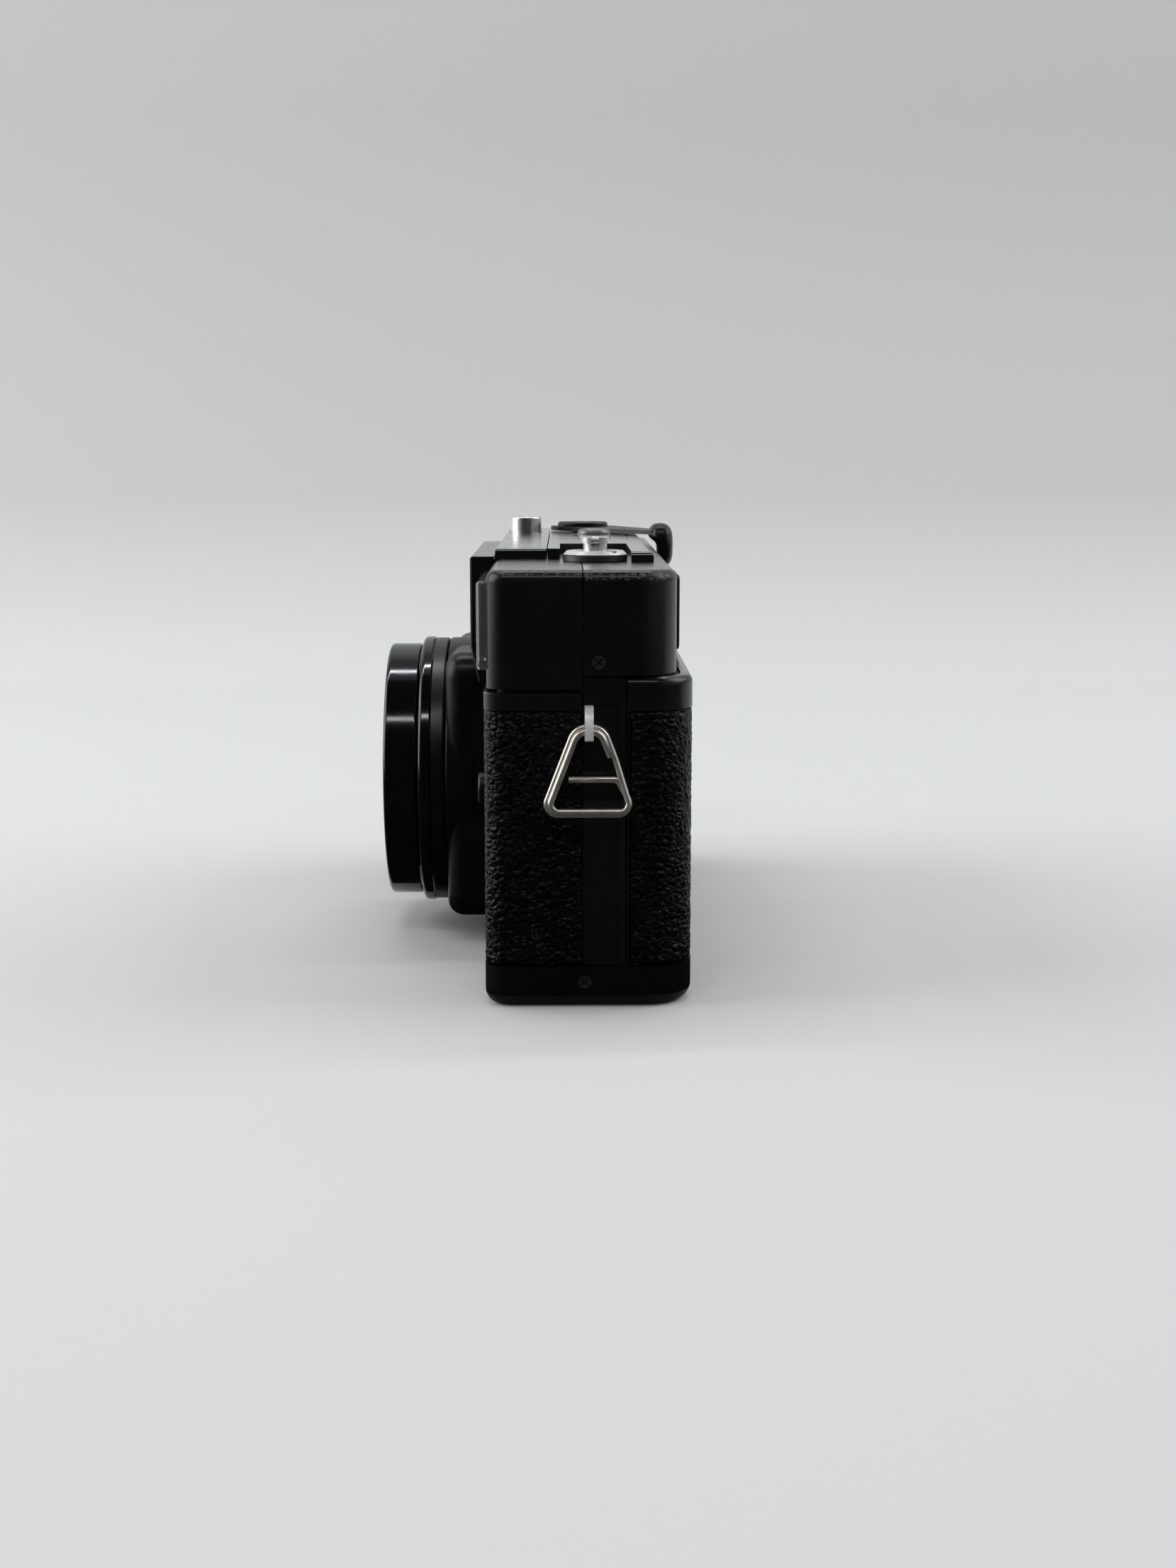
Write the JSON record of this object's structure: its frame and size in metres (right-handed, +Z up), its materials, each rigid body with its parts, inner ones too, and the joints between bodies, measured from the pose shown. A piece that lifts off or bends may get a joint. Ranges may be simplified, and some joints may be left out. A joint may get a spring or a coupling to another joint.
{
  "type": "rangefinder camera",
  "caption": "Compact 35 mm rangefinder camera in worn black with built-in flash, hinged film door, working rewind crank, wind lever and focusing lens.",
  "frame": {"origin": "mouth of the tripod socket, straight below the lens axis", "axes": "+Z up, -Y out along the lens towards the subject, +X towards the rewind side"},
  "size_m": [0.1408, 0.0572, 0.0772],
  "materials": {
    "cover_black": "satin",
    "gloss_black": "gloss",
    "black_plastic": "matte",
    "gloss_plastic": "gloss",
    "leatherette": "pebbled",
    "anodised": "satin",
    "casting": "matte",
    "chrome": "polished",
    "satin_chrome": "satin",
    "nickel": "worn",
    "steel": "satin",
    "spring_steel": "satin",
    "blade_black": "matte",
    "brass": "satin",
    "glass": "clear",
    "coated_glass": "coated",
    "frosted": "frosted",
    "flash_clear": "ribbed, clear",
    "reflector": "polished",
    "mirror": "polished",
    "sleeve": "printed film, plain",
    "cell": "satin"
  },
  "bodies": {
    "camera_body": {"chassis": "casting", "hinge_pin": "steel", "base_cover": "cover_black", "front_cover": "cover_black", "front_leatherette": "leatherette", "side_strips": "cover_black", "strap_lugs": "satin_chrome", "rear_top_cover": "cover_black", "flash_housing": "gloss_black", "release_side_cover": "cover_black", "finder_block": "black_plastic", "finder_bezel": "gloss_plastic", "clear_windows": "glass", "frosted_window": "frosted", "eyepiece_surround": "black_plastic", "eyepiece_lens": "glass", "beamsplitter": "coated_glass", "front_deck": "gloss_black", "rear_deck": "gloss_black", "wind_deck": "gloss_black", "counter_window": "glass", "flash_window": "flash_clear", "flash_reflector": "reflector", "flash_capacitor": "sleeve", "flash_battery": "cell", "lens_housing": "cover_black", "lens_sleeve": "brass", "shutter_case": "casting", "rear_lens": "coated_glass", "tripod_bush": "satin_chrome", "side_screws": "steel"},
    "focus_ring": {"focus_ring": "anodised"},
    "lens_group": {"lens_barrel": "anodised", "front_cone": "anodised", "front_lens": "coated_glass"},
    "shutter_release": {"release_button": "satin_chrome"},
    "front_button": {"front_button": "black_plastic"},
    "advance_lever": {"lever_arm": "gloss_black", "lever_cap": "gloss_black", "lever_tip": "gloss_plastic"},
    "takeup_spool": {"takeup_spool": "black_plastic"},
    "film_sprocket": {"film_sprocket": "black_plastic"},
    "frame_counter": {"counter_dial": "black_plastic"},
    "back_latch": {"back_latch": "spring_steel"},
    "rewind": {"rewind_shaft": "chrome", "rewind_disc": "chrome"},
    "rewind_crank": {"crank_arm": "chrome", "crank_grip": "gloss_plastic"},
    "film_door": {"film_door": "cover_black", "door_leatherette": "leatherette", "pressure_plate": "blade_black", "plate_spring": "spring_steel"},
    "battery_hatch": {"battery_hatch": "black_plastic"},
    "unlock_button": {"unlock_button": "satin_chrome"},
    "strap_ring_rewind": {"strap_ring_rewind": "nickel"},
    "strap_ring_wind": {"strap_ring_wind": "nickel"},
    "range_mirror": {"mirror_carrier": "brass", "rangefinder_mirror": "mirror"},
    "blade_left": {"shutter_blade_left": "blade_black"},
    "blade_right": {"shutter_blade_right": "blade_black"}
  },
  "joints": [
    {"name": "focus_turn", "type": "hinge", "parent": "camera_body", "child": "focus_ring", "pos_m": [0, -0.028, 0.03], "axis": [0, 1, 0], "range_deg": [0, 90.5]},
    {"name": "lens_extend", "type": "slide", "parent": "camera_body", "child": "lens_group", "axis": [0, -1, 0], "range_m": [0, 0.0018]},
    {"name": "mirror_tilt", "type": "hinge", "parent": "camera_body", "child": "range_mirror", "pos_m": [-0.017, -0.009, 0.063], "axis": [0, 0, 1], "range_deg": [0, 3.1]},
    {"name": "release_press", "type": "slide", "parent": "camera_body", "child": "shutter_release", "axis": [0, 0, -1], "range_m": [0, 0.0016], "stiffness_N_per_m": 700},
    {"name": "front_button_press", "type": "slide", "parent": "camera_body", "child": "front_button", "axis": [0, 1, 0], "range_m": [0, 0.0009], "stiffness_N_per_m": 600},
    {"name": "advance_stroke", "type": "hinge", "parent": "camera_body", "child": "advance_lever", "pos_m": [-0.047, 0, 0.0746], "axis": [0, 0, 1], "range_deg": [0, 130], "stiffness_Nm_per_rad": 0.02},
    {"name": "spool_turn", "type": "hinge", "parent": "camera_body", "child": "takeup_spool", "pos_m": [-0.047, 0, 0.03], "axis": [0, 0, 1], "range_deg": [0, 311]},
    {"name": "sprocket_turn", "type": "hinge", "parent": "camera_body", "child": "film_sprocket", "pos_m": [-0.0275, 0.0054, 0.03], "axis": [0, 0, 1], "range_deg": [0, 361]},
    {"name": "counter_turn", "type": "hinge", "parent": "camera_body", "child": "frame_counter", "pos_m": [-0.0275, 0.001, 0.0727], "axis": [0, 0, 1], "range_deg": [0, 11]},
    {"name": "latch_lift", "type": "slide", "parent": "camera_body", "child": "back_latch", "axis": [0, 0, 1], "range_m": [0, 0.007]},
    {"name": "rewind_turn", "type": "hinge", "parent": "back_latch", "child": "rewind", "pos_m": [0.0375, 0.0014, 0.06], "axis": [0, 0, 1], "continuous": true},
    {"name": "crank_fold", "type": "hinge", "parent": "rewind", "child": "rewind_crank", "pos_m": [0.0375, 0.0014, 0.07555], "axis": [0, 1, 0], "range_deg": [0, 180]},
    {"name": "door_swing", "type": "hinge", "parent": "camera_body", "child": "film_door", "pos_m": [-0.0614, 0.0132, 0.03], "axis": [0, 0, 1], "range_deg": [0, 110]},
    {"name": "hatch_swing", "type": "hinge", "parent": "camera_body", "child": "battery_hatch", "pos_m": [0.0472, -0.0068, 0.0007], "axis": [0, 1, 0], "range_deg": [0, 90]},
    {"name": "unlock_press", "type": "slide", "parent": "camera_body", "child": "unlock_button", "axis": [0, 0, 1], "range_m": [0, 0.0012], "stiffness_N_per_m": 400},
    {"name": "ring_swing_rewind", "type": "hinge", "parent": "camera_body", "child": "strap_ring_rewind", "pos_m": [0.0682, 0, 0.04705], "axis": [0, -1, 0], "range_deg": [0, 150]},
    {"name": "ring_swing_wind", "type": "hinge", "parent": "camera_body", "child": "strap_ring_wind", "pos_m": [-0.0682, 0, 0.04705], "axis": [0, 1, 0], "range_deg": [0, 150]},
    {"name": "blade_open_left", "type": "hinge", "parent": "camera_body", "child": "blade_left", "pos_m": [0, -0.0177, 0.0435], "axis": [0, 1, 0], "range_deg": [0, 29]},
    {"name": "blade_open_right", "type": "hinge", "parent": "camera_body", "child": "blade_right", "pos_m": [0, -0.0173, 0.0435], "axis": [0, 1, 0], "range_deg": [-29, 0]}
  ],
  "couplings": [
    {"joint": "focus_turn", "follows": "lens_extend", "rad_per_m": 872.66},
    {"joint": "mirror_tilt", "follows": "lens_extend", "rad_per_m": 29.089},
    {"joint": "spool_turn", "follows": "advance_stroke", "ratio": 2.39},
    {"joint": "sprocket_turn", "follows": "advance_stroke", "ratio": 2.7692},
    {"joint": "counter_turn", "follows": "advance_stroke", "ratio": 0.07692},
    {"joint": "blade_open_right", "follows": "blade_open_left", "ratio": -1}
  ]
}
